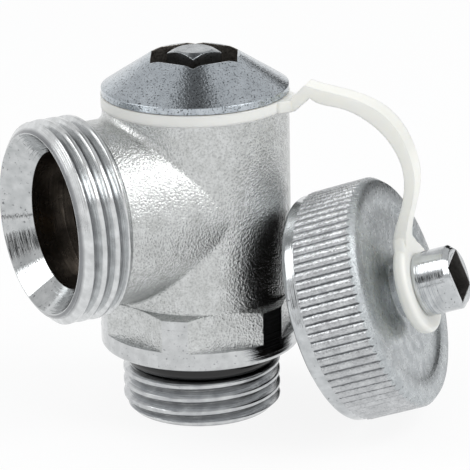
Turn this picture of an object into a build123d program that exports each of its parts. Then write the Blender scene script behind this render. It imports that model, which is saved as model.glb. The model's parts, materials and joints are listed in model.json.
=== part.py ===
from build123d import *
import os
from math import cos, radians, sin, tan

os.makedirs("parts", exist_ok=True)

# Millimetres and degrees. Z is the spindle axis, the foot stands on z = 0, the outlet points along -X.

# Clearances
RUNNING_CLEARANCE = 0.05
SEAL_CLEARANCE = 0.02
GUIDE_CLEARANCE = 0.1
SWIVEL_CLEARANCE = 0.1
END_CLEARANCE = 0.3
KEY_CLEARANCE = 0.1

# Pipe threads G 1/2 and G 3/4, drawn as rings at their pitch
THREAD_PITCH = 1.814
THREAD_DEPTH = 1.0
THREAD_LAND = 0.4

# Inlet end: male thread, with the groove of its sealing ring
INLET_THREAD_DIAMETER = 20.955
INLET_THREAD_LENGTH = 6.3
INLET_LEAD = 1.0
INLET_BORE_DIAMETER = 12.5
SEAL_GROOVE_DIAMETER = 15.4
CONNECTION_RING_SECTION = 2.6

# Barrel, with the hexagon and the collar below it
BARREL_DIAMETER = 24.4
COLLAR_OVERHANG = 1.05
COLLAR_HEIGHT = 2.6
COLLAR_ROUNDING = 0.7
HEX_STAND = 0.05
HEX_HEIGHT = 4.9
HEX_TOP_SLOPE = 28.0
HEX_TURN = 17.0

# Outlet: male thread, with a conical seat in its mouth
OUTLET_THREAD_DIAMETER = 26.441
OUTLET_BELOW_HEX = 0.82
OUTLET_REACH = 23.1
OUTLET_THREAD_LENGTH = 7.4
OUTLET_LEAD = 1.0
OUTLET_RUNOUT = 1.0
OUTLET_LIP = 0.1
MOUTH_DIAMETER = 23.4
MOUTH_BORE_DIAMETER = 17.9
MOUTH_SEAT_DEPTH = 3.3
MOUTH_BORE_DEPTH = 4.4
NECK_STEP = 0.15
NECK_COVER = 0.65
NECK_FILLET = 1.0
WATERWAY_DIAMETER = 12.0

# Valve seat and chamber
SEAT_DROP = 1.8
SEAT_LIP_HEIGHT = 1.6
SEAT_LIP_WIDTH = 1.0
CHAMBER_DIAMETER = 18.4

# Bonnet
BONNET_THREAD_DIAMETER = 19.0
BONNET_THREAD_LENGTH = 4.0
BONNET_NECK_DIAMETER = 20.4
BONNET_NECK_DEPTH = 2.2
BONNET_RING_SECTION = 1.1
RIM_HEIGHT = 0.85
CONE_SLOPE = 32.5
SOCKET_ACROSS_FLATS = 11.2
SOCKET_TURN = 30.0
SOCKET_LAND = 0.35
SKIRT_WALL = 1.9
GUIDE_ACROSS_FLATS = 11.0

# Spindle, its seals and its clip
STEM_DIAMETER = 8.0
STEM_BEARING_LENGTH = 6.3
STEM_GROOVE_DEPTH = 1.05
STEM_LAND = 0.8
SPINDLE_COLLAR_DIAMETER = 10.2
SPINDLE_COLLAR_HEIGHT = 1.0
SPINDLE_OVERRUN = 0.1
SPINDLE_SHOULDER = 0.6
SQUARE_SIDE = 5.0
SQUARE_HEIGHT = 4.15
SQUARE_CHAMFER_DIAMETER = 4.6
SQUARE_CHAMFER_SLOPE = 25.0
SQUARE_TURN = 14.0
CLIP_DIAMETER = 9.8
CLIP_GROOVE_DEPTH = 0.7
CLIP_THICKNESS = 0.8

# Plug with washer and screw
LIFT = 3.0
PLUG_DIAMETER = 16.8
PLUG_WEB = 2.4
WASHER_DIAMETER = 15.2
WASHER_THICKNESS = 2.2
WASHER_PROUD = 1.0
SCREW_DIAMETER = 4.0
SCREW_LENGTH = 4.2
SCREW_HEAD_DIAMETER = 6.8
SCREW_HEAD_HEIGHT = 1.2

# Tether ring and strap
RING_STAND = 0.1
RING_HEIGHT = 1.5
LUG_WIDTH = 5.4
LUG_LENGTH = 1.3
STRAP_WIDTH = 3.2
STRAP_THICKNESS = 2.0
STRAP_SETBACK = 0.6
STRAP_FOLDS = 3
# Strap from the ring to the eye, in shares: along the chord, off the chord, of the full thickness
STRAP_SHAPE = [
    (0.0, 0.0, 0.7),
    (0.018, 0.022, 0.77),
    (0.006, 0.144, 0.92),
    (0.061, 0.178, 0.87),
    (0.152, 0.257, 0.86),
    (0.244, 0.32, 0.92),
    (0.348, 0.362, 1.0),
    (0.464, 0.374, 0.92),
    (0.575, 0.355, 0.77),
    (0.686, 0.306, 0.7),
    (0.77, 0.233, 0.65),
    (0.85, 0.133, 0.65),
    (0.915, 0.055, 0.8),
    (1.0, 0.0, 0.8),
]

# Eye of the tether
EYE_WALL = 2.5
EYE_THICKNESS = 1.7
EYE_ROUNDING = 0.6
EYE_ROOT_WIDTH = 6.2
EYE_ROOT_LENGTH = 2.2
EYE_ROOT_THICKNESS = 1.4

# Cap, parked beside the body: it leans back and its open end faces the barrel
CAP_DIRECTION = -47.7
CAP_TILT = 19.5
CAP_BARREL_GAP = 0.9
CAP_FOOT_GAP = 0.8
CAP_WALL = 1.78
CAP_COLLAR_LENGTH = 1.95
CAP_COLLAR_ROUNDING = 0.8
KNURL_STAND = 0.2
KNURL_DEPTH = 0.36
KNURL_RIBS = 82
CAP_LENGTH = 10.25
CAP_FACE_CHAMFER = 0.65
CAP_CHAMFER_LENGTH = 0.8
CAP_DISH_BORDER = 2.55
CAP_DISH_DEPTH = 0.3
CAP_THREAD_CLEARANCE = 0.1
CAP_BORE_DEPTH = 8.0
GASKET_THICKNESS = 1.8
GASKET_HOLE_DIAMETER = 15.0
KNOB_NECK_DIAMETER = 7.2
KNOB_NECK_LENGTH = 3.1
KNOB_DIAMETER = 8.4
KNOB_LENGTH = 4.9
KNOB_CHAMFER = 0.6
KEY_DEPTH = 4.5
KEY_TURN = 10.0

BASE = (Align.CENTER, Align.CENTER, Align.MIN)
FULL_TURN = 360.0
QUARTER_TURN = 90.0
HEX_SIDES = 6


def drum(diameter, low, high):
    return Pos(0, 0, low) * Cylinder(diameter / 2, high - low, align=BASE)


def taper(low_diameter, high_diameter, low, high):
    return Pos(0, 0, low) * Cone(low_diameter / 2, high_diameter / 2, high - low, align=BASE)


def tube(outer_diameter, inner_diameter, low, high):
    return drum(outer_diameter, low, high) - drum(inner_diameter, low, high)


def hexagon(across_flats, flat_angle, low, high):
    outline = RegularPolygon(across_flats / 2, HEX_SIDES, major_radius=False)
    return Pos(0, 0, low) * Rot(0, 0, flat_angle - FULL_TURN / HEX_SIDES / 2) * extrude(outline, high - low)


def square(side, flat_angle, low, high):
    return Pos(0, 0, low) * Rot(0, 0, flat_angle) * Box(side, side, high - low, align=BASE)


def seal(inner_diameter, section, level):
    return Pos(0, 0, level) * Torus((inner_diameter + section) / 2, section / 2)


def thread(diameter, low, high):
    half_gap = (THREAD_PITCH - THREAD_LAND) / 2
    root = diameter / 2 - THREAD_DEPTH
    turns = int((high - low + THREAD_LAND) / THREAD_PITCH)
    outline = [(0, low), (diameter / 2, low)]
    for turn in range(turns):
        groove = (low + high) / 2 + (turn + 1 / 2 - turns / 2) * THREAD_PITCH
        outline += [(diameter / 2, groove - half_gap), (root, groove), (diameter / 2, groove + half_gap)]
    outline += [(diameter / 2, high), (0, high)]
    return revolve(make_face(Plane.XZ * Polyline(*outline, close=True)), Axis.Z)


# Diameters that go with the barrel
collar_diameter = BARREL_DIAMETER + 2 * COLLAR_OVERHANG
hex_across_flats = BARREL_DIAMETER + 2 * HEX_STAND
neck_diameter = BARREL_DIAMETER - 2 * NECK_STEP
ring_diameter = BARREL_DIAMETER + 2 * RING_STAND

# Levels on the spindle axis, from the foot up
collar_low = INLET_THREAD_LENGTH + CONNECTION_RING_SECTION
hex_low = collar_low + COLLAR_HEIGHT
hex_high = hex_low + HEX_HEIGHT
outlet_level = hex_high - OUTLET_BELOW_HEX + OUTLET_THREAD_DIAMETER / 2
barrel_top = outlet_level + neck_diameter / 2 + NECK_COVER
seat_level = outlet_level - WATERWAY_DIAMETER / 2 - SEAT_DROP
chamber_floor = seat_level - SEAT_LIP_HEIGHT
bonnet_ledge = barrel_top - BONNET_NECK_DEPTH
bonnet_thread_low = bonnet_ledge - BONNET_THREAD_LENGTH
ring_high = barrel_top + RING_HEIGHT
rim_low = ring_high + SWIVEL_CLEARANCE
rim_high = rim_low + RIM_HEIGHT
socket_floor = rim_low
guide_roof = socket_floor - STEM_BEARING_LENGTH
spindle_collar_low = guide_roof - SPINDLE_COLLAR_HEIGHT
washer_high = seat_level + WASHER_THICKNESS
plug_disc_high = washer_high + PLUG_WEB
plug_high = spindle_collar_low - LIFT
skirt_low = plug_disc_high + LIFT + END_CLEARANCE
spindle_end = skirt_low - SPINDLE_OVERRUN
plug_bore_low = spindle_end - LIFT - END_CLEARANCE
clip_high = socket_floor + CLIP_THICKNESS
square_low = clip_high + SPINDLE_SHOULDER
square_high = square_low + SQUARE_HEIGHT

# Valve body: inlet end, collar, hexagon and barrel
inlet_tip_diameter = INLET_THREAD_DIAMETER - 2 * INLET_LEAD
inlet_end = taper(inlet_tip_diameter, INLET_THREAD_DIAMETER, 0, INLET_LEAD)
inlet_end += thread(INLET_THREAD_DIAMETER, INLET_LEAD, INLET_THREAD_LENGTH)
inlet_end += drum(SEAL_GROOVE_DIAMETER, INLET_THREAD_LENGTH, collar_low)

collar = drum(collar_diameter, collar_low, hex_low)
collar = fillet(collar.edges().group_by(Axis.Z)[0], COLLAR_ROUNDING)

hex_crown = (collar_diameter - BARREL_DIAMETER) / 2 * tan(radians(HEX_TOP_SLOPE))
hex_envelope = drum(collar_diameter, hex_low, hex_high - hex_crown)
hex_envelope += taper(collar_diameter, BARREL_DIAMETER, hex_high - hex_crown, hex_high)
hex_block = hexagon(hex_across_flats, HEX_TURN, hex_low, hex_high) & hex_envelope
barrel = drum(BARREL_DIAMETER, hex_low, barrel_top)

# Outlet, drawn along +Z and then laid along -X; the figures are distances from the spindle axis
outlet_frame = Pos(0, 0, outlet_level) * Rot(0, -QUARTER_TURN, 0)
outlet_thread_low = OUTLET_REACH - OUTLET_THREAD_LENGTH
outlet_full_low = outlet_thread_low + OUTLET_RUNOUT
outlet_lead_low = OUTLET_REACH - OUTLET_LEAD
outlet_tip_diameter = MOUTH_DIAMETER + 2 * OUTLET_LIP
neck = drum(neck_diameter, 0, outlet_thread_low)
outlet_end = drum(neck_diameter, outlet_thread_low - OUTLET_RUNOUT, outlet_thread_low)
outlet_end += taper(neck_diameter, OUTLET_THREAD_DIAMETER, outlet_thread_low, outlet_full_low)
outlet_end += thread(OUTLET_THREAD_DIAMETER, outlet_full_low, outlet_lead_low)
outlet_end += taper(OUTLET_THREAD_DIAMETER, outlet_tip_diameter, outlet_lead_low, OUTLET_REACH)

mouth_seat_low = OUTLET_REACH - MOUTH_SEAT_DEPTH
mouth_bore_low = mouth_seat_low - MOUTH_BORE_DEPTH
outlet_bore = taper(MOUTH_BORE_DIAMETER, MOUTH_DIAMETER, mouth_seat_low, OUTLET_REACH)
outlet_bore += drum(MOUTH_BORE_DIAMETER, mouth_bore_low, mouth_seat_low)
outlet_bore += drum(WATERWAY_DIAMETER, 0, mouth_bore_low)

# Vertical bores: inlet, chamber round the raised seat, bonnet thread and bonnet neck
seat_lip_diameter = INLET_BORE_DIAMETER + 2 * SEAT_LIP_WIDTH
vertical_bore = drum(INLET_BORE_DIAMETER, 0, seat_level)
vertical_bore += tube(CHAMBER_DIAMETER, seat_lip_diameter, chamber_floor, seat_level)
vertical_bore += drum(CHAMBER_DIAMETER, seat_level, bonnet_thread_low)
vertical_bore += drum(BONNET_THREAD_DIAMETER, bonnet_thread_low, bonnet_ledge)
vertical_bore += drum(BONNET_NECK_DIAMETER, bonnet_ledge, barrel_top)

valve_body = barrel + outlet_frame * neck
valve_body = fillet(valve_body.edges().filter_by(GeomType.BSPLINE), NECK_FILLET)
valve_body += hex_block + collar + inlet_end + outlet_frame * outlet_end
valve_body -= vertical_bore
valve_body -= outlet_frame * outlet_bore
export_step(valve_body, "parts/valve_body.step")

connection_ring_level = collar_low - CONNECTION_RING_SECTION / 2
connection_o_ring = seal(SEAL_GROOVE_DIAMETER, CONNECTION_RING_SECTION, connection_ring_level)
export_step(connection_o_ring, "parts/connection_o_ring.step")

# Bonnet: cone with the hexagon socket, neck for the tether ring, thread and guide skirt
cone_top_diameter = SOCKET_ACROSS_FLATS + 2 * SOCKET_LAND
cone_high = rim_high + (BARREL_DIAMETER - cone_top_diameter) / 2 * tan(radians(CONE_SLOPE))
skirt_diameter = GUIDE_ACROSS_FLATS + 2 * SKIRT_WALL
bonnet_groove_diameter = BONNET_NECK_DIAMETER - 2 * BONNET_RING_SECTION
bonnet_ring_level = (bonnet_ledge + barrel_top) / 2
bonnet = drum(BARREL_DIAMETER, rim_low, rim_high)
bonnet += taper(BARREL_DIAMETER, cone_top_diameter, rim_high, cone_high)
bonnet += drum(BONNET_NECK_DIAMETER, bonnet_ledge, rim_low)
bonnet += drum(BONNET_THREAD_DIAMETER, bonnet_thread_low, bonnet_ledge)
bonnet += drum(skirt_diameter, skirt_low, bonnet_thread_low)
bonnet -= hexagon(SOCKET_ACROSS_FLATS, SOCKET_TURN, socket_floor, cone_high)
bonnet -= drum(STEM_DIAMETER + 2 * RUNNING_CLEARANCE, guide_roof, socket_floor)
bonnet -= hexagon(GUIDE_ACROSS_FLATS, SOCKET_TURN, skirt_low, guide_roof)
bonnet -= tube(
    BONNET_NECK_DIAMETER,
    bonnet_groove_diameter,
    bonnet_ring_level - BONNET_RING_SECTION / 2,
    bonnet_ring_level + BONNET_RING_SECTION / 2,
)
export_step(bonnet, "parts/bonnet.step")

bonnet_o_ring = seal(bonnet_groove_diameter, BONNET_RING_SECTION, bonnet_ring_level)
export_step(bonnet_o_ring, "parts/bonnet_o_ring.step")

# Spindle: threaded end, collar under the bonnet, stem with two seal grooves, clip groove and square head
stem_groove_diameter = STEM_DIAMETER - 2 * STEM_GROOVE_DEPTH
stem_ring_section = STEM_GROOVE_DEPTH + RUNNING_CLEARANCE - SEAL_CLEARANCE
stem_ring_levels = [
    guide_roof + STEM_LAND + stem_ring_section / 2,
    socket_floor - STEM_LAND - stem_ring_section / 2,
]
clip_groove_diameter = STEM_DIAMETER - 2 * CLIP_GROOVE_DEPTH
spindle = drum(STEM_DIAMETER, spindle_end, square_low)
spindle += drum(SPINDLE_COLLAR_DIAMETER, spindle_collar_low, guide_roof)
for level in stem_ring_levels:
    spindle -= tube(
        STEM_DIAMETER,
        stem_groove_diameter,
        level - stem_ring_section / 2,
        level + stem_ring_section / 2,
    )
spindle -= tube(STEM_DIAMETER, clip_groove_diameter, socket_floor, clip_high)
head_flare = 2 * SQUARE_HEIGHT / tan(radians(SQUARE_CHAMFER_SLOPE))
head_cone = taper(SQUARE_CHAMFER_DIAMETER + head_flare, SQUARE_CHAMFER_DIAMETER, square_low, square_high)
spindle += square(SQUARE_SIDE, SQUARE_TURN, square_low, square_high) & head_cone
export_step(spindle, "parts/spindle.step")

spindle_o_rings = Compound(
    children=[seal(stem_groove_diameter, stem_ring_section, level) for level in stem_ring_levels]
)
export_step(spindle_o_rings, "parts/spindle_o_rings.step")

spindle_clip = tube(CLIP_DIAMETER, clip_groove_diameter, socket_floor, clip_high)
export_step(spindle_clip, "parts/spindle_clip.step")

# Plug: cup for the washer, hexagon boss that the spindle screws into
plug = drum(PLUG_DIAMETER, seat_level + WASHER_PROUD, plug_disc_high)
plug += hexagon(GUIDE_ACROSS_FLATS - 2 * GUIDE_CLEARANCE, SOCKET_TURN, plug_disc_high, plug_high)
plug -= drum(WASHER_DIAMETER, seat_level + WASHER_PROUD, washer_high)
plug -= drum(STEM_DIAMETER + 2 * RUNNING_CLEARANCE, plug_bore_low, plug_high)
plug -= drum(SCREW_DIAMETER, washer_high, seat_level + SCREW_LENGTH)
export_step(plug, "parts/valve_plug.step")

seat_washer = tube(WASHER_DIAMETER, SCREW_DIAMETER, seat_level, washer_high)
export_step(seat_washer, "parts/seat_washer.step")

washer_screw = drum(SCREW_DIAMETER, seat_level, seat_level + SCREW_LENGTH)
washer_screw += drum(SCREW_HEAD_DIAMETER, seat_level - SCREW_HEAD_HEIGHT, seat_level)
export_step(washer_screw, "parts/washer_screw.step")

# Cap diameters, from the thread that it goes on
cap_bore_diameter = OUTLET_THREAD_DIAMETER + 2 * CAP_THREAD_CLEARANCE
cap_collar_diameter = cap_bore_diameter + 2 * CAP_WALL
knurl_diameter = cap_collar_diameter + 2 * KNURL_STAND
cap_face_diameter = knurl_diameter - 2 * CAP_FACE_CHAMFER
cap_dish_diameter = cap_face_diameter - 2 * CAP_DISH_BORDER

# Cap frame: origin in the middle of the open end, axis towards the knob
tilt_cos = cos(radians(CAP_TILT))
tilt_sin = sin(radians(CAP_TILT))
direction_cos = cos(radians(CAP_DIRECTION))
direction_sin = sin(radians(CAP_DIRECTION))
cap_reach = BARREL_DIAMETER / 2 + CAP_BARREL_GAP + cap_collar_diameter / 2 * tilt_sin
cap_rise = CAP_FOOT_GAP + cap_collar_diameter / 2 * tilt_cos - CAP_COLLAR_ROUNDING * tilt_sin
cap_frame = Plane(
    origin=(cap_reach * direction_cos, cap_reach * direction_sin, cap_rise),
    x_dir=(-direction_sin, direction_cos, 0),
    z_dir=(tilt_cos * direction_cos, tilt_cos * direction_sin, tilt_sin),
).location

# Cap: rounded collar, knurl with chamfered end, dished face, necked knob with the square key socket
rib_step = radians(FULL_TURN / KNURL_RIBS)
crest_radius = knurl_diameter / 2
valley_radius = crest_radius - KNURL_DEPTH


def rim_point(radius, angle):
    return (radius * cos(angle), radius * sin(angle))


ribs = [
    ThreePointArc(
        rim_point(valley_radius, number * rib_step),
        rim_point(crest_radius, (number + 1 / 2) * rib_step),
        rim_point(valley_radius, (number + 1) * rib_step),
    )
    for number in range(KNURL_RIBS)
]
knurl_high = CAP_LENGTH - CAP_CHAMFER_LENGTH
knurl_bar = extrude(Face(Wire(ribs)), CAP_LENGTH - CAP_COLLAR_LENGTH)
knurl_envelope = drum(knurl_diameter, CAP_COLLAR_LENGTH, knurl_high)
knurl_envelope += taper(knurl_diameter, cap_face_diameter, knurl_high, CAP_LENGTH)
knurl = Pos(0, 0, CAP_COLLAR_LENGTH) * knurl_bar & knurl_envelope

cap_collar = drum(cap_collar_diameter, 0, CAP_COLLAR_LENGTH)
cap_collar = fillet(cap_collar.edges().group_by(Axis.Z)[0], CAP_COLLAR_ROUNDING)

dish_floor = CAP_LENGTH - CAP_DISH_DEPTH
dish_floor_diameter = cap_dish_diameter - 2 * CAP_DISH_DEPTH
knob_low = CAP_LENGTH + KNOB_NECK_LENGTH
knob_high = knob_low + KNOB_LENGTH
cap = cap_collar + knurl
cap -= taper(dish_floor_diameter, cap_dish_diameter, dish_floor, CAP_LENGTH)
cap -= drum(cap_bore_diameter, 0, CAP_BORE_DEPTH)
cap += drum(KNOB_NECK_DIAMETER, dish_floor, knob_low)
cap += drum(KNOB_DIAMETER, knob_low, knob_high - KNOB_CHAMFER)
cap += taper(KNOB_DIAMETER, KNOB_DIAMETER - 2 * KNOB_CHAMFER, knob_high - KNOB_CHAMFER, knob_high)
cap -= square(SQUARE_SIDE + 2 * KEY_CLEARANCE, KEY_TURN, knob_high - KEY_DEPTH, knob_high)
export_step(cap_frame * cap, "parts/cap.step")

gasket_low = CAP_BORE_DEPTH - GASKET_THICKNESS
cap_gasket = tube(cap_bore_diameter, GASKET_HOLE_DIAMETER, gasket_low, CAP_BORE_DEPTH)
export_step(cap_frame * cap_gasket, "parts/cap_gasket.step")

# Tether: ring round the bonnet neck, lug, strap in the cap's upright plane, eye on the knob neck
ring_bore_diameter = BONNET_NECK_DIAMETER + 2 * SWIVEL_CLEARANCE
eye_bore_diameter = KNOB_NECK_DIAMETER + 2 * SWIVEL_CLEARANCE
eye_radius = eye_bore_diameter / 2 + EYE_WALL
eye_middle_radius = eye_radius - EYE_WALL / 2
eye_high = knob_low - SWIVEL_CLEARANCE
eye_low = eye_high - EYE_THICKNESS
eye_middle = (eye_low + eye_high) / 2

strap_plane = Plane(
    origin=(0, 0, 0),
    x_dir=(direction_cos, direction_sin, 0),
    z_dir=(direction_sin, -direction_cos, 0),
).location
strap_start = (ring_diameter / 2 + STRAP_SETBACK, (barrel_top + ring_high) / 2)
strap_end = (
    cap_reach + eye_middle * tilt_cos - eye_middle_radius * tilt_sin,
    cap_rise + eye_middle * tilt_sin + eye_middle_radius * tilt_cos,
)
chord_x = strap_end[0] - strap_start[0]
chord_y = strap_end[1] - strap_start[1]
strap_spots = [
    Vector(
        strap_start[0] + along * chord_x - across * chord_y,
        strap_start[1] + along * chord_y + across * chord_x,
    )
    for along, across, share in STRAP_SHAPE
]


def strap_edge(side):
    points = []
    last = len(strap_spots) - 1
    for number, spot in enumerate(strap_spots):
        heading = (strap_spots[min(number + 1, last)] - strap_spots[max(number - 1, 0)]).normalized()
        offset = side * STRAP_THICKNESS * STRAP_SHAPE[number][2] / 2
        points.append((spot.X - heading.Y * offset, spot.Y + heading.X * offset))
    return points


outer_points = strap_edge(1)
inner_points = strap_edge(-1)
fold_points = inner_points[STRAP_FOLDS - 1::-1] + outer_points[:STRAP_FOLDS]
strap_outline = Wire(
    [Line(first, second) for first, second in zip(fold_points, fold_points[1:])]
    + [
        Spline(outer_points[STRAP_FOLDS - 1:]),
        Line(outer_points[-1], inner_points[-1]),
        Spline(inner_points[STRAP_FOLDS - 1:]),
    ]
)
strap = extrude(Face(strap_outline), STRAP_WIDTH / 2, both=True)

lug_outline = Polyline(
    (ring_bore_diameter / 2, -LUG_WIDTH / 2),
    (ring_diameter / 2, -LUG_WIDTH / 2),
    (ring_diameter / 2 + LUG_LENGTH, -STRAP_WIDTH / 2),
    (ring_diameter / 2 + LUG_LENGTH, STRAP_WIDTH / 2),
    (ring_diameter / 2, LUG_WIDTH / 2),
    (ring_bore_diameter / 2, LUG_WIDTH / 2),
    close=True,
)
lug = Pos(0, 0, barrel_top) * Rot(0, 0, CAP_DIRECTION) * extrude(make_face(lug_outline), RING_HEIGHT)

eye = drum(2 * eye_radius, eye_low, eye_high)
eye = fillet(eye.edges().filter_by(GeomType.CIRCLE), EYE_ROUNDING)
root_outline = Polyline(
    (-EYE_ROOT_WIDTH / 2, eye_middle_radius),
    (-STRAP_WIDTH / 2, eye_middle_radius + EYE_ROOT_LENGTH),
    (STRAP_WIDTH / 2, eye_middle_radius + EYE_ROOT_LENGTH),
    (EYE_ROOT_WIDTH / 2, eye_middle_radius),
    close=True,
)
root_low = eye_high - EYE_ROOT_THICKNESS
eye += Pos(0, 0, root_low) * extrude(make_face(root_outline), EYE_ROOT_THICKNESS)
eye_hole = drum(eye_bore_diameter, eye_low, eye_high)

tether_ring = drum(ring_diameter, barrel_top, ring_high)
cap_tether = tether_ring + lug + strap_plane * strap + cap_frame * eye
cap_tether -= drum(ring_bore_diameter, barrel_top, ring_high)
cap_tether -= cap_frame * eye_hole
export_step(cap_tether, "parts/cap_tether.step")
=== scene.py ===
"""Looks of a fill and drain valve: plated brass body, headwork, knurled cap and white strap.

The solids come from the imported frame. This script adds the helical threads, the finishes, the
studio and the camera. Sizes are in millimetres and meshes in metres. Z is the spindle's axis, the
foot stands on z = 0 and the outlet points along -X.
"""

import json
import logging
import math
from collections.abc import Mapping, Sequence
from dataclasses import dataclass, field
from enum import Enum

import bpy
import numpy as np
from mathutils import Euler, Matrix, Vector

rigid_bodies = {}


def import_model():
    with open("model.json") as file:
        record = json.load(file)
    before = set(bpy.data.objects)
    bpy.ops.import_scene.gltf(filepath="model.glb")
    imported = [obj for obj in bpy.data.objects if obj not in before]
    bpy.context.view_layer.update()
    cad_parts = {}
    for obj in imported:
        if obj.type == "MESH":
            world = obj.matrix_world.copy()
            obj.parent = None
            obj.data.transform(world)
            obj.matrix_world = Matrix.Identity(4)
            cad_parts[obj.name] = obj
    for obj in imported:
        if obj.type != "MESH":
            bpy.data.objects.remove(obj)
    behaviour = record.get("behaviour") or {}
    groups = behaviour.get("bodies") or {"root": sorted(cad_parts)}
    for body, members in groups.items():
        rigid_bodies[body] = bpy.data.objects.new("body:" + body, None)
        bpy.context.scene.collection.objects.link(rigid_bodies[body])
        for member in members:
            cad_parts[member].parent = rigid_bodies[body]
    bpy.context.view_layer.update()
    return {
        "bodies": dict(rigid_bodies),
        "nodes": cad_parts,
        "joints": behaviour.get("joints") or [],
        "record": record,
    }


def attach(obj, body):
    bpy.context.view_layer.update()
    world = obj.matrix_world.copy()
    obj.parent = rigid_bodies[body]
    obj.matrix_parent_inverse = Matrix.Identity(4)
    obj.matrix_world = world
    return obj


LOG = logging.getLogger("valve")
MM = 0.001
# A face counts as lying on a level when it is this near to it.
TOUCH = 0.02
# A face looks away from an axis when its normal has at least this share outward.
OUTWARD = 0.25
# Noise textures keep mostly between these values.
NOISE_LOW, NOISE_HIGH = 0.3, 0.7
# Rays with which an edge is felt for when it is drawn round.
EDGE_SAMPLES = 6
# The sRGB curve: a straight foot, then a power.
SRGB_FOOT, SRGB_SLOPE, SRGB_OFFSET, SRGB_POWER = 0.04045, 12.92, 0.055, 2.4
BYTE = 255
WHITE = "#FFFFFF"

Point = tuple[float, float, float]
Node = bpy.types.Node
Socket = bpy.types.NodeSocket
Outline = Sequence[tuple[float, float]]


def linear(code: str) -> tuple[float, float, float, float]:
    """Turns an sRGB hex colour into linear light.

    Args:
        code: six hex digits after a hash sign.

    Returns:
        Red, green, blue and alpha, each from 0 to 1.
    """
    parts = [int(code[i : i + 2], 16) / BYTE for i in (1, 3, 5)]
    curve = [((part + SRGB_OFFSET) / (1 + SRGB_OFFSET)) ** SRGB_POWER for part in parts]
    red, green, blue = [c if part > SRGB_FOOT else part / SRGB_SLOPE for c, part in zip(curve, parts)]
    return red, green, blue, 1.0


def add_node(
    tree: bpy.types.NodeTree,
    kind: str,
    inputs: Mapping[str | int, object] | None = None,
    **settings: object,
) -> Node:
    """Adds one shader node with its settings and links.

    Args:
        tree: the node tree that takes the node.
        kind: the node's type without its ShaderNode prefix.
        inputs: socket to a value, to the output that feeds it, or to a node whose first output does.
        settings: properties of the node itself.

    Returns:
        The new node.
    """
    node = tree.nodes.new("ShaderNode" + kind)
    for name, value in settings.items():
        setattr(node, name, value)
    for socket, value in (inputs or {}).items():
        source = value.outputs[0] if isinstance(value, Node) else value
        if isinstance(source, Socket):
            tree.links.new(source, node.inputs[socket])
        else:
            node.inputs[socket].default_value = source
    return node


@dataclass(frozen=True)
class AboutAxis:
    """Faces in the cylinder coordinates of one axis, with one value to a face in each array.

    outward is the cosine between a face's normal and the way out from the axis, and tilt is the
    cosine between its normal and the axis.
    """

    along: np.ndarray
    radius: np.ndarray
    outward: np.ndarray
    tilt: np.ndarray


@dataclass(frozen=True)
class Axis:
    """A line that a piece was turned about: a point on it and its direction."""

    point: Point = (0.0, 0.0, 0.0)
    direction: Point = (0.0, 0.0, 1.0)

    @property
    def turn(self) -> Point:
        """Euler angles that bring Z onto the axis."""
        x, y, z = self.direction
        return 0.0, math.acos(max(-1.0, min(1.0, z))), math.atan2(y, x)

    def about(self, middles: np.ndarray, normals: np.ndarray) -> AboutAxis:
        """Reads faces in cylinder coordinates about this axis.

        Args:
            middles: N by 3 places in millimetres.
            normals: N by 3 normals of length 1.

        Returns:
            One value to a face in each array.
        """
        direction = np.array(self.direction)
        gap = middles - np.array(self.point)
        along = gap @ direction
        offset = gap - along[:, None] * direction
        radius = np.linalg.norm(offset, axis=1)
        outward = np.einsum("ij,ij->i", offset, normals) / np.maximum(radius, TOUCH)
        return AboutAxis(along, radius, outward, normals @ direction)

    def place(self, along: np.ndarray, radius: np.ndarray, angle: np.ndarray) -> np.ndarray:
        """Puts cylinder coordinates about this axis into the frame.

        Args:
            along: distance along the axis in millimetres.
            radius: distance from the axis in millimetres.
            angle: angle about the axis in radians.

        Returns:
            Places in metres, with X, Y and Z last.
        """
        own = np.stack([radius * np.cos(angle), radius * np.sin(angle), along], axis=-1)
        basis = np.array(Euler(self.turn).to_matrix()).T
        return (own @ basis + np.array(self.point)) * MM


@dataclass(frozen=True)
class Axes:
    """The three turning axes of the valve."""

    spindle: Axis
    outlet: Axis
    cap: Axis

    @classmethod
    def read(cls, frame: dict, eye_depth: float = 12.4) -> "Axes":
        """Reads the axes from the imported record.

        Args:
            eye_depth: distance from the cap's open end to the eye that it turns in.

        Returns:
            The axes, with the cap's starting at its open end.
        """
        spin = next(joint for joint in frame["joints"] if joint["name"] == "cap_spin")
        outlet = next(mount for mount in frame["record"]["mounts"] if mount["name"] == "outlet_thread")
        direction = np.array(spin["axis"]) / np.linalg.norm(spin["axis"])
        open_end = np.array(spin["pos_m"]) / MM - direction * eye_depth
        return cls(
            spindle=Axis(),
            outlet=Axis((0.0, 0.0, outlet["pos_m"][2] / MM), tuple(outlet["axis"])),
            cap=Axis(tuple(open_end), tuple(direction)),
        )


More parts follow.
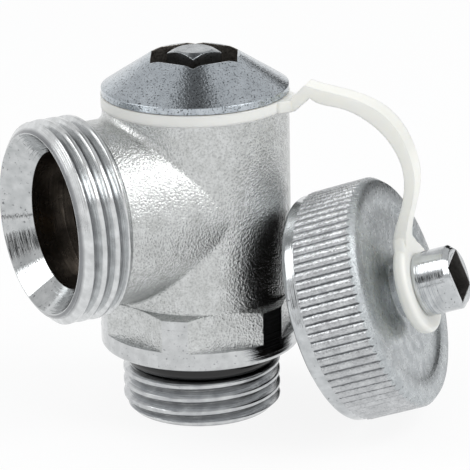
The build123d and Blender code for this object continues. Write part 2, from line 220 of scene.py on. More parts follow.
@dataclass
class Surface:
    """A new material, with the coordinates that the finishes share."""

    name: str
    made: bpy.types.Material = field(init=False)
    tree: bpy.types.NodeTree = field(init=False)

    def __post_init__(self) -> None:
        """Starts the material with a plain Principled shader."""
        self.made = bpy.data.materials.new(self.name)
        self.made.use_nodes = True
        self.tree = self.made.node_tree

    def place(self, axis: Axis) -> Node:
        """Turns object coordinates so that an axis is their Z.

        Args:
            axis: the axis, whose point becomes the origin.

        Returns:
            The node that gives the place in millimetres.
        """
        inputs = {
            "Vector": add_node(self.tree, "TexCoord").outputs["Object"],
            "Location": Vector(axis.point) * MM,
            "Rotation": axis.turn,
            "Scale": (MM, MM, MM),
        }
        return add_node(self.tree, "Mapping", inputs, vector_type="TEXTURE")

    def section(self, place: Node) -> tuple[Socket, Node]:
        """Finds where a place lies in a turned piece's section.

        Args:
            place: the node that gives the place, with Z along the turning axis.

        Returns:
            The radius, and the node that gives the radius and height as a vector.
        """
        flat = add_node(self.tree, "VectorMath", {0: place, 1: (1.0, 1.0, 0.0)}, operation="MULTIPLY")
        radius = add_node(self.tree, "VectorMath", {0: flat}, operation="LENGTH").outputs["Value"]
        height = add_node(self.tree, "SeparateXYZ", {0: place}).outputs["Z"]
        return radius, add_node(self.tree, "CombineXYZ", {"X": radius, "Y": height})

    def join(self, colour: Node, roughness: Node, normal: Node, **values: object) -> bpy.types.Material:
        """Feeds the Principled shader.

        Args:
            colour: what feeds its base colour.
            roughness: what feeds its roughness.
            normal: what feeds its normal.
            values: constants for other sockets, with underscores for spaces.

        Returns:
            The finished material.
        """
        shader = self.tree.nodes["Principled BSDF"]
        for name, node in (("Base Color", colour), ("Roughness", roughness), ("Normal", normal)):
            self.tree.links.new(node.outputs[0], shader.inputs[name])
        for name, value in values.items():
            shader.inputs[name.replace("_", " ")].default_value = value
        return self.made


@dataclass(frozen=True)
class Plating:
    """Metal whose colour comes in patches and shows the tool or the blasting under its plating.

    grain is a blasted or forged skin with painted shade in its valleys, rings are turning marks about
    the axis, pits are dark specks, and hollow is a range of radius with painted shade at its low end,
    for thread roots and the valleys between ribs. dark is the colour of the pits and of the painted
    shade. A size of zero leaves that feature out.
    """

    name: str
    clean: str
    stained: str
    roughness: tuple[float, float]
    dark: str = "#3A3A3A"
    patch_mm: float = 1.4
    grain_mm: float = 0.0
    grain_depth_mm: float = 0.0
    grain_valley_shade: float = 0.0
    ring_mm: float = 0.0
    ring_depth_mm: float = 0.0
    pit_mm: float = 0.0
    pit_share: float = 0.0
    hollow: tuple[float, float] = (0.0, 0.0)
    hollow_shade: float = 0.85
    edge_mm: float = 0.15
    valley_top: float = 0.55
    pit_middle: float = 0.5
    pit_edge: float = 0.06
    patch_detail: float = 5.0
    fine_detail: float = 3.0
    pit_detail: float = 4.0

    def material(self, axis: Axis) -> bpy.types.Material:
        """Builds the material for a piece that was turned about an axis.

        Args:
            axis: the turning axis, which rings and hollow go by.

        Returns:
            A metal whose colour, roughness and relief follow the fields.
        """
        skin = Surface(self.name)
        tree, place = skin.tree, skin.place(axis)
        radius, section = skin.section(place)
        spots = {"Vector": place, "Scale": 1 / self.patch_mm, "Detail": self.patch_detail}
        patch = add_node(tree, "TexNoise", spots)
        ends = {"Value": patch, "From Min": NOISE_LOW, "From Max": NOISE_HIGH}
        share = add_node(tree, "MapRange", ends)
        gloss = {"To Min": self.roughness[0], "To Max": self.roughness[1]}
        roughness = add_node(tree, "MapRange", {**ends, **gloss})
        tones = {"Color1": linear(self.clean), "Color2": linear(self.stained)}
        colour = add_node(tree, "MixRGB", {"Fac": share, **tones})
        normal = add_node(tree, "Bevel", {"Radius": self.edge_mm * MM}, samples=EDGE_SAMPLES)
        shades: list[Node] = []
        if self.grain_mm:
            dents = {"Vector": place, "Scale": 1 / self.grain_mm, "Detail": self.fine_detail}
            grain = add_node(tree, "TexNoise", dents)
            relief = {"Height": grain, "Distance": self.grain_depth_mm * MM}
            normal = add_node(tree, "Bump", {**relief, "Normal": normal})
            # Painted shade: the grain's valleys are mixed towards the dark colour.
            painted_valley_shade = {"From Min": self.valley_top, "From Max": NOISE_LOW, "To Max": self.grain_valley_shade}
            shades.append(add_node(tree, "MapRange", {"Value": grain, **painted_valley_shade}))
        if self.ring_mm:
            marks = {"Vector": section, "Scale": 1 / self.ring_mm, "Detail": self.fine_detail}
            relief = {"Height": add_node(tree, "TexNoise", marks), "Distance": self.ring_depth_mm * MM}
            normal = add_node(tree, "Bump", {**relief, "Normal": normal})
        if self.pit_mm:
            specks = {"Vector": place, "Scale": 1 / self.pit_mm, "Detail": self.pit_detail}
            pit = add_node(tree, "TexNoise", specks)
            rim = self.pit_middle + (NOISE_HIGH - self.pit_middle) * (1 - self.pit_share)
            wall = {"From Min": rim, "From Max": rim + self.pit_edge}
            shades.append(add_node(tree, "MapRange", {"Value": pit, **wall}))
        if self.hollow[1]:
            # Painted shade: the hollow's low radius, in thread roots and between ribs, is mixed towards
            # the dark colour.
            root = {"From Min": self.hollow[1], "From Max": self.hollow[0], "To Max": self.hollow_shade}
            shades.append(add_node(tree, "MapRange", {"Value": radius, **root}))
        # The pits are real specks; the valley and hollow marks are painted shade.
        for shade in shades:
            pits_and_painted_shade = {"Color1": colour, "Color2": linear(self.dark)}
            colour = add_node(tree, "MixRGB", {"Fac": shade, **pits_and_painted_shade})
        return skin.join(colour, roughness, normal, Metallic=1.0)


@dataclass(frozen=True)
class Moulding:
    """A moulded rubber or plastic: soft gloss, a faint skin grain and uneven colour."""

    name: str
    colour: str
    shade: str
    roughness: tuple[float, float]
    cloud_mm: float = 4.0
    grain_mm: float = 0.3
    grain_depth_mm: float = 0.004
    edge_mm: float = 0.2
    glow: float = 0.0
    glow_depth_mm: float = 1.0
    glow_tint: Point = (1.0, 0.95, 0.85)
    cloud_detail: float = 4.0
    grain_detail: float = 2.0

    def material(self, axis: Axis) -> bpy.types.Material:
        """Builds the material.

        Args:
            axis: the axis that its coordinates go by.

        Returns:
            A dielectric, with light scattered inside it where glow is above zero.
        """
        skin = Surface(self.name)
        tree, place = skin.tree, skin.place(axis)
        spots = {"Vector": place, "Scale": 1 / self.cloud_mm, "Detail": self.cloud_detail}
        cloud = add_node(tree, "TexNoise", spots)
        tones = {"Color1": linear(self.colour), "Color2": linear(self.shade)}
        colour = add_node(tree, "MixRGB", {"Fac": cloud, **tones})
        ends = {"Value": cloud, "From Min": NOISE_LOW, "From Max": NOISE_HIGH}
        gloss = {"To Min": self.roughness[0], "To Max": self.roughness[1]}
        roughness = add_node(tree, "MapRange", {**ends, **gloss})
        edge = add_node(tree, "Bevel", {"Radius": self.edge_mm * MM}, samples=EDGE_SAMPLES)
        dents = {"Vector": place, "Scale": 1 / self.grain_mm, "Detail": self.grain_detail}
        relief = {"Height": add_node(tree, "TexNoise", dents), "Distance": self.grain_depth_mm * MM}
        normal = add_node(tree, "Bump", {**relief, "Normal": edge})
        glow = {"Subsurface_Weight": self.glow, "Subsurface_Scale": self.glow_depth_mm * MM}
        return skin.join(colour, roughness, normal, Subsurface_Radius=self.glow_tint, **glow)


Finish = Plating | Moulding

# Hot-forged brass, shot-blasted and nickel plated: a fine hammered sparkle all over, with shade painted
# into the valleys of the dents. Real shot leaves dents of 0.1 mm, drawn here at more than twice that so
# that they still show in the picture.
FORGED_BRASS = Plating(
    "blasted_forged_brass_nickel",
    clean="#D5D7D7",
    stained="#C5C7C6",
    roughness=(0.16, 0.28),
    dark="#7E807F",
    grain_mm=0.28,
    grain_depth_mm=0.13,
    grain_valley_shade=0.4,
    edge_mm=0.12,
)
# Turned brass, satin nickel: smooth light grey with faint rings and a few specks. Turning marks are
# really 0.1 mm apart, drawn here and below at twice that or more so that they still show.
TURNED_BRASS = Plating(
    "turned_brass_satin_nickel",
    clean="#D0D2D3",
    stained="#BCBEBF",
    roughness=(0.08, 0.18),
    dark="#85878A",
    ring_mm=0.2,
    ring_depth_mm=0.04,
    pit_mm=0.3,
    pit_share=0.3,
)
# The same brass under a cutting die: scored flanks, with shade painted dark into the roots.
INLET_THREAD_BRASS = Plating(
    "die_cut_inlet_thread_nickel",
    clean="#CFD1D2",
    stained="#B4B6B9",
    roughness=(0.12, 0.22),
    dark="#5A5B5C",
    ring_mm=0.2,
    ring_depth_mm=0.06,
    pit_mm=0.3,
    pit_share=0.1,
    hollow=(9.35, 9.85),
    hollow_shade=0.55,
)
# The outlet's thread is cleaner: bright crests, with shade painted grey only at the bottom of the
# roots.
OUTLET_THREAD_BRASS = Plating(
    "die_cut_outlet_thread_nickel",
    clean="#DEE0E1",
    stained="#C6C8C9",
    roughness=(0.12, 0.22),
    dark="#75777A",
    ring_mm=0.2,
    ring_depth_mm=0.04,
    hollow=(12.05, 12.45),
)
# The seat for the hose union is cut last and fine: near-mirror brass with turning streaks.
SEAT_BRASS = Plating(
    "fine_turned_seat_nickel",
    clean="#CBCDCE",
    stained="#B0B3B4",
    roughness=(0.03, 0.07),
    dark="#7C7E80",
    ring_mm=0.3,
    ring_depth_mm=0.06,
    pit_mm=0.4,
    pit_share=0.35,
)
# Plating hardly reaches into the waterway: grey-brown oxidised brass that swallows the light.
BORE_BRASS = Plating(
    "drilled_bore_oxidised_brass",
    clean="#918B84",
    stained="#433F3B",
    roughness=(0.2, 0.34),
    patch_mm=2.5,
    ring_mm=0.3,
    ring_depth_mm=0.05,
    edge_mm=0.03,
)
# The bonnet's cone is turned, blasted and plated: smooth blue-grey with fine black specks, and a little
# shade painted into its grain.
BONNET_BRASS = Plating(
    "blasted_bonnet_nickel",
    clean="#C2C9CF",
    stained="#B0B7BD",
    roughness=(0.1, 0.18),
    dark="#3A3F43",
    grain_mm=0.3,
    grain_depth_mm=0.035,
    grain_valley_shade=0.1,
    ring_mm=0.25,
    ring_depth_mm=0.006,
    pit_mm=0.22,
    pit_share=0.6,
)
# The broached socket in the bonnet keeps cutting oil: dull, with dark brown patches.
SOCKET_BRASS = Plating(
    "broached_socket_stained_brass",
    clean="#B9B2AA",
    stained="#423D38",
    roughness=(0.3, 0.45),
    patch_mm=0.7,
    grain_mm=0.4,
    grain_depth_mm=0.08,
)
# Milled spindle head: darker nickel with small dents from the key.
SPINDLE_BRASS = Plating(
    "milled_spindle_nickel",
    clean="#A9ADB0",
    stained="#8E9296",
    roughness=(0.16, 0.28),
    dark="#55585A",
    ring_mm=0.3,
    ring_depth_mm=0.006,
    pit_mm=0.3,
    pit_share=0.5,
)
# Knurled by rolling: bright, rough ribs, with shade painted grey between them and into their grain.
KNURLED_BRASS = Plating(
    "rolled_knurl_nickel",
    clean="#CED0D2",
    stained="#B4B6B8",
    roughness=(0.1, 0.22),
    dark="#505256",
    grain_mm=0.3,
    grain_depth_mm=0.12,
    grain_valley_shade=0.25,
    hollow=(14.94, 15.1),
    hollow_shade=0.75,
    edge_mm=0.08,
)
# The cap's end face stays as cast: matt and mottled grey, with shade painted into its grain, and a soft
# edge to its shallow dish.
CAP_FACE_BRASS = Plating(
    "cast_cap_face_nickel",
    clean="#CACFD1",
    stained="#B8BDC0",
    roughness=(0.22, 0.34),
    dark="#6C7073",
    grain_mm=0.28,
    grain_depth_mm=0.03,
    grain_valley_shade=0.3,
    pit_mm=0.3,
    pit_share=0.3,
    edge_mm=2.5,
)
# The cap's collar and knob are turned bright, with rings that can be felt.
CAP_TURNED_BRASS = Plating(
    "turned_cap_bright_nickel",
    clean="#CCCFD1",
    stained="#B4B7B9",
    roughness=(0.06, 0.15),
    ring_mm=0.25,
    ring_depth_mm=0.035,
    pit_mm=0.4,
    pit_share=0.15,
)
# Inside the cap the brass is coloured nearly black: painted shade for the hollow cap, which the body
# beside it reflects.
CAP_BORE_PAINTED_SHADE = Plating(
    "tapped_cap_brass_painted_shade",
    clean="#242220",
    stained="#151413",
    roughness=(0.35, 0.5),
    ring_mm=0.3,
    ring_depth_mm=0.02,
)
# The broached key hole in the knob is torn and dull, so that one side of it catches the light.
KEY_HOLE_BRASS = Plating(
    "broached_key_hole_nickel",
    clean="#9A9896",
    stained="#5E5C5A",
    roughness=(0.4, 0.55),
    grain_mm=0.4,
    grain_depth_mm=0.03,
)
# Unplated turned brass of the inner pieces: yellow with fine rings.
RAW_BRASS = Plating(
    "turned_raw_brass",
    clean="#D2B477",
    stained="#B79657",
    roughness=(0.2, 0.3),
    ring_mm=0.3,
    ring_depth_mm=0.006,
)
# Stainless clip and screw: plain grey steel with drawing marks.
STAINLESS_STEEL = Plating(
    "drawn_stainless_steel",
    clean="#BDBDBE",
    stained="#A5A5A7",
    roughness=(0.22, 0.32),
    ring_mm=0.3,
    ring_depth_mm=0.006,
)
# Nitrile sealing rings, moulded in polished tools and oiled: black with sharp reflections.
NITRILE_RUBBER = Moulding(
    "moulded_nitrile_rubber", colour="#131314", shade="#0C0C0D", roughness=(0.14, 0.26)
)
# The cap's gasket is punched from sheet: black and matt.
SHEET_RUBBER = Moulding(
    "punched_sheet_rubber", colour="#1E1E1F", shade="#131314", roughness=(0.5, 0.65)
)
# Injection-moulded polyethylene: milky white, with light going a millimetre or so into it.
POLYETHYLENE = Moulding(
    "moulded_milky_polyethylene",
    colour="#FBFAF3",
    shade="#F5F4EC",
    roughness=(0.3, 0.42),
    edge_mm=0.35,
    glow=0.5,
    glow_depth_mm=1.2,
)


@dataclass
class CadNode:
    """A solid of the frame that is dressed face by face."""

    frame: dict
    name: str
    axis: Axis
    solid: bpy.types.Object = field(init=False)

    def __post_init__(self) -> None:
        """Takes the solid and drops the plain material that came with it."""
        self.solid = self.frame["nodes"][self.name]
        self.solid.data.materials.clear()

    def faces(self) -> tuple[np.ndarray, np.ndarray]:
        """Reads the faces of the solid.

        Returns:
            Their middles in millimetres and their normals, both N by 3.
        """
        count = len(self.solid.data.polygons)
        middles, normals = np.empty(count * 3), np.empty(count * 3)
        self.solid.data.polygons.foreach_get("center", middles)
        self.solid.data.polygons.foreach_get("normal", normals)
        return middles.reshape(-1, 3) / MM, normals.reshape(-1, 3)

    def finish(
        self,
        finishes: Mapping[Enum, tuple[Finish, Axis]],
        order: Sequence[tuple[np.ndarray, Enum]],
        rest: Enum,
    ) -> None:
        """Gives each face the finish of its skin.

        Args:
            finishes: skin to its finish and turning axis, in the order of the skins' values.
            order: which faces have which skin, where the first that holds a face counts.
            rest: the skin of all other faces.
        """
        for one, axis in finishes.values():
            self.solid.data.materials.append(one.material(axis))
        skins = np.select([faces for faces, _ in order], [skin.value for _, skin in order], rest.value)
        self.solid.data.polygons.foreach_set("material_index", skins.astype(np.int32))
        LOG.info("%s: %s", self.name, ", ".join(one.name for one, _ in finishes.values()))

    def coat(self, finish: Finish) -> None:
        """Gives the whole solid one finish."""
        self.solid.data.materials.append(finish.material(self.axis))
        LOG.info("%s: %s", self.name, finish.name)

    def leave_open(self, hidden: np.ndarray, group_name: str) -> None:
        """Hides some faces behind a Mask modifier, so that a threaded surface takes their place.

        Args:
            hidden: for each face, whether it is hidden.
            group_name: name of the vertex group that holds them.
        """
        mesh = self.solid.data
        corners = np.empty(len(mesh.loops), np.int32)
        mesh.loops.foreach_get("vertex_index", corners)
        group = self.solid.vertex_groups.new(name=group_name)
        group.add(np.unique(corners.reshape(len(hidden), -1)[hidden]).tolist(), 1.0, "REPLACE")
        mask = self.solid.modifiers.new(group_name, "MASK")
        mask.vertex_group = group.name
        mask.invert_vertex_group = True


def lathe_piece(name: str, points: np.ndarray, outwards: bool, sharp_deg: float) -> bpy.types.Object:
    """Makes an object from rings of points that close on themselves.

    The surface is P(i, j) with i along the axis and j round it. Face (i, j) joins rings i and i + 1
    between spokes j and j + 1, and the last spoke joins the first.

    Args:
        name: the piece's name.
        points: rings by spokes by 3, in metres.
        outwards: whether the faces look away from the axis.
        sharp_deg: edges that fold more than this stay sharp.

    Returns:
        The object, linked into the scene at the origin.
    """
    rings, spokes = points.shape[:2]
    ring, spoke = np.meshgrid(np.arange(rings - 1), np.arange(spokes), indexing="ij")
    here, after = ring * spokes + spoke, ring * spokes + (spoke + 1) % spokes
    quads = np.stack([here, after, after + spokes, here + spokes], axis=-1).reshape(-1, 4)
    if not outwards:
        quads = quads[:, ::-1]
    mesh = bpy.data.meshes.new(name)
    mesh.vertices.add(rings * spokes)
    mesh.vertices.foreach_set("co", points.astype(np.float32).ravel())
    mesh.loops.add(quads.size)
    mesh.loops.foreach_set("vertex_index", quads.astype(np.int32).ravel())
    mesh.polygons.add(len(quads))
    mesh.polygons.foreach_set("loop_start", np.arange(0, quads.size, 4, dtype=np.int32))
    mesh.update(calc_edges=True)
    mesh.polygons.foreach_set("use_smooth", np.ones(len(quads), bool))
    mesh.set_sharp_from_angle(angle=math.radians(sharp_deg))
    made = bpy.data.objects.new(name, mesh)
    bpy.context.scene.collection.objects.link(made)
    return made


@dataclass
class PipeThread:
    """A right-hand pipe thread with flat crests and rounded flanks.

    One crest passes crest_at at crest_angle. At distance z and angle a, the turn count is
    (z - crest_at) / pitch - (a - crest_angle) / (2 pi), and t runs from 0 at the end of the crest's
    land to 1 in the root. The radius is crest + (root - crest) g(t), where
    g(t) = t - rounding sin(2 pi t) / (2 pi). It is held between floor and limit, which are outlines
    of (z, radius) and give the lead and the run-out.
    """

    name: str
    axis: Axis
    crest: float
    root: float
    crest_at: float
    crest_angle: float
    limit: Outline
    floor: Outline
    closing: Outline = ()
    pitch: float = 1.814
    land: float = 0.4
    rounding: float = 0.35
    rings_per_pitch: int = 30
    spokes: int = 288
    outwards: bool = True
    sharp_deg: float = 50.0

    def build(self, finish: Finish, body: str, slot: str) -> None:
        """Computes the threaded surface, dresses it and makes it ride its body.

        Args:
            finish: the finish of the thread.
            body: the body that it rides.
            slot: not used.
        """
        start, end = self.limit[0][0], self.limit[-1][0]
        count = int((end - start) / self.pitch * self.rings_per_pitch) + 1
        around = np.linspace(0.0, 2 * math.pi, self.spokes, endpoint=False)
        along, angle = np.meshgrid(np.linspace(start, end, count), around, indexing="ij")
        past_crest = angle - math.radians(self.crest_angle)
        turns = (along - self.crest_at) / self.pitch - past_crest / (2 * math.pi)
        share = self.land / self.pitch
        t = np.clip((np.abs(2 * (turns - np.round(turns))) - share) / (1 - share), 0.0, 1.0)
        drop = t - self.rounding * np.sin(2 * math.pi * t) / (2 * math.pi)
        radius = self.crest + (self.root - self.crest) * drop
        radius = np.maximum(radius, np.interp(along, *zip(*self.floor)))
        radius = np.minimum(radius, np.interp(along, *zip(*self.limit)))
        for z, r in self.closing:
            along = np.vstack([along, np.full((1, self.spokes), z)])
            radius = np.vstack([radius, np.full((1, self.spokes), r)])
            angle = np.vstack([angle, angle[:1]])
        points = self.axis.place(along, radius, angle)
        piece = lathe_piece(self.name, points, self.outwards, self.sharp_deg)
        piece.data.materials.append(finish.material(self.axis))
        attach(piece, body)
        LOG.info("%s: %s", self.name, finish.name)


class BodySkin(Enum):
    """How a part of the body's surface was made."""

    FORGED = 0
    TURNED = 1
    SEAT = 2
    BORE = 3


@dataclass
class Body:
    """Forged body with its two threads and the sealing ring of the connection."""

    frame: dict
    axes: Axes
    outlet_reach: float = 23.1
    outlet_lead: float = 1.0
    outlet_run_out: float = 1.0
    outlet_thread_length: float = 7.4
    outlet_tip: float = 11.8
    outlet_crest_at: float = 18.32
    outlet_crest_angle: float = 87.6
    mouth_bore: float = 8.95
    seat_depth: float = 3.3
    neck_radius: float = 12.05
    waterway_start: float = 5.0
    inlet_thread_length: float = 6.3
    inlet_lead: float = 1.0
    inlet_lip: float = 0.25
    inlet_crest_at: float = 3.95
    inlet_crest_angle: float = -127.0
    groove_radius: float = 7.7
    thread_depth: float = 1.162
    collar_radius: float = 13.25
    collar_top: float = 11.5
    hex_inradius: float = 12.25
    hex_top: float = 16.4

    @property
    def thread_low(self) -> float:
        """Where the outlet's thread starts, from the spindle's axis."""
        return self.outlet_reach - self.outlet_thread_length

    def crest(self, mount_name: str) -> float:
        """Reads a thread's outer radius from the frame's mounts."""
        mounts = self.frame["record"]["mounts"]
        return next(mount for mount in mounts if mount["name"] == mount_name)["dims"]["r_mm"]

    def dress(self) -> None:
        """Opens the body where the threads go, and gives the rest its skins."""
        node = CadNode(self.frame, "valve_body", self.axes.spindle)
        middles, normals = node.faces()
        up = self.axes.spindle.about(middles, normals)
        out = self.axes.outlet.about(middles, normals)

        in_mouth = (out.along > self.thread_low) & (out.radius < self.outlet_tip)
        on_outlet = (out.along > self.thread_low - TOUCH) & (out.outward > OUTWARD) & ~in_mouth
        at_inlet = (up.along < self.inlet_thread_length + TOUCH) & (up.radius > self.groove_radius)
        on_inlet = at_inlet & (up.outward > OUTWARD)
        shoulder = at_inlet & (up.along > self.inlet_thread_length - TOUCH) & (up.tilt > 1 - TOUCH)
        node.leave_open(on_outlet | on_inlet | shoulder, "threads")

        in_waterway = (out.along > self.waterway_start) & (out.radius < self.mouth_bore + TOUCH)
        bore = in_waterway | (up.outward < -OUTWARD)
        near_end = out.along > self.outlet_reach - self.seat_depth - TOUCH
        seat = in_mouth & near_end & (out.outward < -OUTWARD)
        in_hex = (up.along > self.collar_top) & (up.along < self.hex_top)
        corner = in_hex & (up.radius * up.outward > (self.hex_inradius + self.collar_radius) / 2)
        turned = in_mouth | corner | (up.along < self.collar_top + TOUCH)
        order = ((seat, BodySkin.SEAT), (bore, BodySkin.BORE), (turned, BodySkin.TURNED))
        finishes = {
            BodySkin.FORGED: (FORGED_BRASS, self.axes.spindle),
            BodySkin.TURNED: (TURNED_BRASS, self.axes.spindle),
            BodySkin.SEAT: (SEAT_BRASS, self.axes.outlet),
            BodySkin.BORE: (BORE_BRASS, self.axes.outlet),
        }
        node.finish(finishes, order, rest=BodySkin.FORGED)

    def add_threads(self) -> None:
        """Adds the inlet's thread and the outlet's thread."""
        inlet, outlet = self.crest("inlet_thread"), self.crest("outlet_thread")
        end, lead = self.inlet_thread_length, self.inlet_lead
        PipeThread(
            "inlet_thread",
            self.axes.spindle,
            crest=inlet,
            root=inlet - self.thread_depth,
            crest_at=self.inlet_crest_at,
            crest_angle=self.inlet_crest_angle,
            limit=[(0.0, inlet - lead), (lead, inlet), (end, inlet)],
            floor=[(0.0, inlet - lead), (self.inlet_lip, 0.0)],
            closing=[(end, self.groove_radius)],
        ).build(INLET_THREAD_BRASS, "body", "turned_plating")
        low, high = self.thread_low, self.outlet_reach
        PipeThread(
            "outlet_thread",
            self.axes.outlet,
            crest=outlet,
            root=outlet - self.thread_depth,
            crest_at=self.outlet_crest_at,
            crest_angle=self.outlet_crest_angle,
            limit=[
                (low, self.neck_radius),
                (low + self.outlet_run_out, outlet),
                (high - self.outlet_lead, outlet),
                (high, self.outlet_tip),
            ],
            floor=[(low, 0.0)],
        ).build(OUTLET_THREAD_BRASS, "body", "turned_plating")

    def build(self) -> None:
        """Dresses the body and its sealing ring, and adds both threads."""
        self.dress()
        self.add_threads()
        CadNode(self.frame, "connection_o_ring", self.axes.spindle).coat(NITRILE_RUBBER)


class BonnetSkin(Enum):
    """How a part of the bonnet's surface was made."""

    CONE = 0
    SOCKET = 1
    INNER = 2


@dataclass
class Headwork:
    """Bonnet with its seals, the spindle and the plug that it lifts."""

    frame: dict
    axes: Axes
    rim_low: float = 43.1

    def dress_bonnet(self) -> None:
        """Gives the bonnet's cone, its socket and its hidden end their skins."""
        node = CadNode(self.frame, "bonnet", self.axes.spindle)
        up = self.axes.spindle.about(*node.faces())
        hidden = up.along < self.rim_low - TOUCH
        socket = (up.outward < -OUTWARD) | (up.along < self.rim_low + TOUCH)
        order = ((hidden, BonnetSkin.INNER), (socket, BonnetSkin.SOCKET))
        finishes = {
            BonnetSkin.CONE: (BONNET_BRASS, node.axis),
            BonnetSkin.SOCKET: (SOCKET_BRASS, node.axis),
            BonnetSkin.INNER: (RAW_BRASS, node.axis),
        }
        node.finish(finishes, order, rest=BonnetSkin.CONE)

    def build(self) -> None:
        """Dresses the bonnet and every piece inside it."""
        self.dress_bonnet()
        for name, finish in (
            ("spindle", SPINDLE_BRASS),
            ("spindle_clip", STAINLESS_STEEL),
            ("washer_screw", STAINLESS_STEEL),
            ("valve_plug", RAW_BRASS),
            ("bonnet_o_ring", NITRILE_RUBBER),
            ("spindle_o_rings", NITRILE_RUBBER),
            ("seat_washer", NITRILE_RUBBER),
        ):
            CadNode(self.frame, name, self.axes.spindle).coat(finish)


class CapSkin(Enum):
    """How a part of the cap's surface was made."""

    FACE = 0
    KNURL = 1
    TURNED = 2
    KEY_HOLE = 3
    BORE = 4


@dataclass
class Cap:
    """Knurled cap with its key knob and gasket, on the white tether."""

    frame: dict
    axes: Axes
    collar_length: float = 1.95
    ribs_end: float = 9.45
    rib_root: float = 14.94
    length: float = 10.25
    bore_radius: float = 13.32
    bore_depth: float = 8.0
    knob_radius: float = 4.2
    knob_end: float = 18.25
    key_floor: float = 13.75
    key_corner: float = 3.7
    thread_crest: float = 12.06
    thread_crest_at: float = 2.0
    thread_length: float = 6.2
    thread_lead: float = 0.9
    thread_rings: int = 20
    thread_spokes: int = 240

    def dress(self) -> None:
        """Gives the cap's face, ribs, knob, key hole and bore their skins."""
        node = CadNode(self.frame, "cap", self.axes.cap)
        at = self.axes.cap.about(*node.faces())
        in_key = (at.along > self.key_floor - TOUCH) & (at.along < self.knob_end - TOUCH)
        key = in_key & (at.radius < self.key_corner) & (at.outward < OUTWARD)
        bore = (at.along < self.bore_depth + TOUCH) & (at.radius < self.bore_radius + TOUCH)
        on_rim = (at.along > self.collar_length - TOUCH) & (at.along < self.length)
        ribs = on_rim & (at.radius > self.rib_root - TOUCH) & (np.abs(at.tilt) < OUTWARD)
        face = (at.along > self.ribs_end) & (at.radius > self.knob_radius + TOUCH)
        order = (
            (key, CapSkin.KEY_HOLE),
            (bore, CapSkin.BORE),
            (ribs, CapSkin.KNURL),
            (face, CapSkin.FACE),
        )
        finishes = {
            CapSkin.FACE: (CAP_FACE_BRASS, node.axis),
            CapSkin.KNURL: (KNURLED_BRASS, node.axis),
            CapSkin.TURNED: (CAP_TURNED_BRASS, node.axis),
            CapSkin.KEY_HOLE: (KEY_HOLE_BRASS, node.axis),
            CapSkin.BORE: (CAP_BORE_PAINTED_SHADE, node.axis),
        }
        node.finish(finishes, order, rest=CapSkin.TURNED)

    def add_thread(self) -> None:
        """Adds the thread inside the cap, which fades out at both ends."""
        wall, end, lead = self.bore_radius, self.thread_length, self.thread_lead
        PipeThread(
            "cap_thread",
            self.axes.cap,
            crest=self.thread_crest,
            root=wall - TOUCH,
            crest_at=self.thread_crest_at,
            crest_angle=0.0,
            limit=[(0.0, wall), (end, wall)],
            floor=[(0.0, wall), (lead, 0.0), (end - lead, 0.0), (end, wall)],
            rings_per_pitch=self.thread_rings,
            spokes=self.thread_spokes,
            outwards=False,
        ).build(CAP_BORE_PAINTED_SHADE, "cap", "cap_plating")

    def build(self) -> None:
        """Dresses the cap, its gasket and the tether, and adds the cap's thread."""
        self.dress()
        self.add_thread()
        CadNode(self.frame, "cap_gasket", self.axes.cap).coat(SHEET_RUBBER)
        CadNode(self.frame, "cap_tether", self.axes.spindle).coat(POLYETHYLENE)


@dataclass(frozen=True)
class SoftLamp:
    """A square soft box that looks at the valve."""

    name: str
    position: Point
    side: float
    power: float

    def build(self, aim: Vector) -> None:
        """Hangs the lamp.

        Args:
            aim: the point in metres that it looks at.
        """
        data = bpy.data.lights.new(self.name, "AREA")
        data.size = self.side * MM
        data.energy = self.power
        lamp = bpy.data.objects.new(self.name, data)
        lamp.location = Vector(self.position) * MM
        lamp.rotation_euler = (aim - lamp.location).to_track_quat("-Z", "Y").to_euler()
        bpy.context.scene.collection.objects.link(lamp)


@dataclass(frozen=True)
class Card:
    """A flat card that only shiny surfaces see, as a photographer's flag is placed.

    across and along are the directions of its width and its height.
    """

    name: str
    centre: Point
    across: Point
    along: Point
    width: float
    height: float
    shade: float

    def build(self) -> None:
        """Hangs the card and keeps it out of every ray but the glossy ones."""
        made = bpy.data.materials.new(self.name)
        made.use_nodes = True
        made.node_tree.nodes.clear()
        glow = add_node(made.node_tree, "Emission", {"Color": linear(WHITE), "Strength": self.shade})
        add_node(made.node_tree, "OutputMaterial", {0: glow})
        half_x = Vector(self.across).normalized() * self.width / 2
        half_y = Vector(self.along).normalized() * self.height / 2
        middle = Vector(self.centre)
        signs = ((-1, -1), (1, -1), (1, 1), (-1, 1))
        corners = [(middle + half_x * x + half_y * y) * MM for x, y in signs]
        mesh = bpy.data.meshes.new(self.name)
        mesh.from_pydata(corners, [], [(0, 1, 2, 3)])
        mesh.materials.append(made)
        card = bpy.data.objects.new(self.name, mesh)
        for ray in ("camera", "diffuse", "shadow", "transmission", "volume_scatter"):
            setattr(card, "visible_" + ray, False)
        bpy.context.scene.collection.objects.link(card)


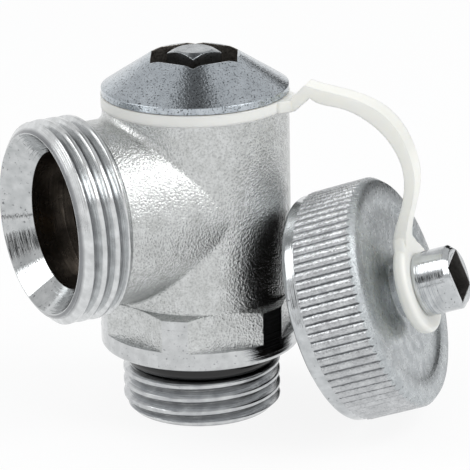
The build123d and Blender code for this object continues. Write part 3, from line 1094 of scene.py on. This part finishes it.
@dataclass
class Studio:
    """White sweep, soft boxes, flags and the camera of the photograph."""

    camera_at: Point = (-167.57, -313.95, 140.13)
    camera_aim: Point = (4.2, -2.32, 23.2)
    camera_roll: float = -1.15
    focal_pixels: float = 2840.9
    frame_pixels: float = 470.0
    sensor: float = 36.0
    clip: tuple[float, float] = (10.0, 20000.0)
    floor_side: float = 4000.0
    floor_drop: float = 0.05
    floor_white: str = "#FAFAFA"
    floor_glow: float = 0.88
    sky: str = "#F4F6F8"
    sky_strength: float = 0.68
    lamps: Sequence[SoftLamp] = (
        SoftLamp("key_soft_box", position=(290.0, -320.0, 470.0), side=300.0, power=1.35),
        SoftLamp("fill_soft_box", position=(-350.0, 130.0, 440.0), side=300.0, power=0.7),
    )
    cards: Sequence[Card] = (
        Card(
            "ceiling",
            centre=(20.0, 40.0, 640.0),
            across=(1.0, 0.0, 0.0),
            along=(0.0, 1.0, 0.0),
            width=2600.0,
            height=2600.0,
            shade=0.72,
        ),
        Card(
            "overhead_flag",
            centre=(24.0, 42.0, 520.0),
            across=(0.876, -0.483, 0.0),
            along=(0.483, 0.876, 0.0),
            width=160.0,
            height=700.0,
            shade=0.15,
        ),
        Card(
            "right_flag",
            centre=(420.0, 130.0, 105.0),
            across=(-0.3, 0.95, 0.0),
            along=(0.0, 0.0, 1.0),
            width=420.0,
            height=210.0,
            shade=0.02,
        ),
        Card(
            "left_flag",
            centre=(-211.0, -77.0, 121.0),
            across=(0.418, -0.909, 0.0),
            along=(0.48, 0.22, 0.85),
            width=50.0,
            height=110.0,
            shade=0.06,
        ),
        Card(
            "left_edge",
            centre=(-211.0, -77.0, 19.0),
            across=(0.418, -0.909, 0.0),
            along=(0.0, 0.0, 1.0),
            width=260.0,
            height=7.0,
            shade=0.1,
        ),
    )

    def seen(self, tree: bpy.types.NodeTree) -> Node:
        """Tells rays that see the studio from rays that light it.

        Args:
            tree: the node tree that asks.

        Returns:
            The node that gives 1 for rays from the camera, off metal and through glass, else 0.
        """
        path = add_node(tree, "LightPath").outputs
        direct = {0: path["Is Camera Ray"], 1: path["Is Glossy Ray"]}
        metal = add_node(tree, "Math", direct, operation="MAXIMUM")
        return add_node(tree, "Math", {0: metal, 1: path["Is Transmission Ray"]}, operation="MAXIMUM")

    def build_world(self) -> None:
        """Makes the soft sky, white where the camera or metal sees it."""
        world = bpy.data.worlds.new("studio")
        world.use_nodes = True
        tree = world.node_tree
        tree.nodes.clear()
        light = add_node(tree, "Background", {"Color": linear(self.sky), "Strength": self.sky_strength})
        white = add_node(tree, "Background", {"Color": linear(WHITE), "Strength": 1.0})
        mixed = add_node(tree, "MixShader", {0: self.seen(tree), 1: light, 2: white})
        add_node(tree, "OutputWorld", {0: mixed})
        bpy.context.scene.world = world

    def build_floor(self) -> None:
        """Lays the pale floor, which glows towards the camera and still takes a shadow."""
        # Matt white paper: no shine, and a soft shadow under the valve.
        made = bpy.data.materials.new("matt_white_paper")
        made.use_nodes = True
        tree = made.node_tree
        tree.nodes.clear()
        matt = add_node(tree, "BsdfDiffuse", {"Color": linear(self.floor_white)})
        glow = add_node(tree, "Emission", {"Color": linear(WHITE), "Strength": 1.0})
        share = add_node(tree, "Math", {0: self.seen(tree), 1: self.floor_glow}, operation="MULTIPLY")
        mixed = add_node(tree, "MixShader", {0: share, 1: matt, 2: glow})
        add_node(tree, "OutputMaterial", {0: mixed})
        half, low = self.floor_side * MM / 2, -self.floor_drop * MM
        corners = [(-half, -half, low), (half, -half, low), (half, half, low), (-half, half, low)]
        mesh = bpy.data.meshes.new("floor")
        mesh.from_pydata(corners, [], [(0, 1, 2, 3)])
        mesh.materials.append(made)
        floor = bpy.data.objects.new("floor", mesh)
        bpy.context.scene.collection.objects.link(floor)

    def build_camera(self) -> None:
        """Puts the camera where the photograph was taken from."""
        data = bpy.data.cameras.new("camera")
        data.sensor_width = self.sensor
        data.lens = self.sensor * self.focal_pixels / self.frame_pixels
        data.clip_start, data.clip_end = self.clip[0] * MM, self.clip[1] * MM
        at = Vector(self.camera_at) * MM
        back = (at - Vector(self.camera_aim) * MM).normalized()
        right = Vector((0.0, 0.0, 1.0)).cross(back).normalized()
        up = back.cross(right)
        roll = math.radians(self.camera_roll)
        tilted = right * math.cos(roll) + up * math.sin(roll)
        upright = up * math.cos(roll) - right * math.sin(roll)
        camera = bpy.data.objects.new("camera", data)
        camera.matrix_world = Matrix((tilted, upright, back)).transposed().to_4x4()
        camera.location = at
        bpy.context.scene.collection.objects.link(camera)
        bpy.context.scene.camera = camera

    def build(self) -> None:
        """Sets up the whole studio."""
        bpy.context.scene.view_settings.view_transform = "Standard"
        self.build_world()
        self.build_floor()
        for lamp in self.lamps:
            lamp.build(Vector(self.camera_aim) * MM)
        for card in self.cards:
            card.build()
        self.build_camera()


def main() -> None:
    """Loads the frame, dresses the valve and sets up the studio."""
    logging.basicConfig(level=logging.INFO, format="%(name)s: %(message)s")
    for old in list(bpy.data.objects):
        bpy.data.objects.remove(old)
    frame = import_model()
    axes = Axes.read(frame)
    Body(frame, axes).build()
    Headwork(frame, axes).build()
    Cap(frame, axes).build()
    Studio().build()


if __name__ == "__main__":
    main()
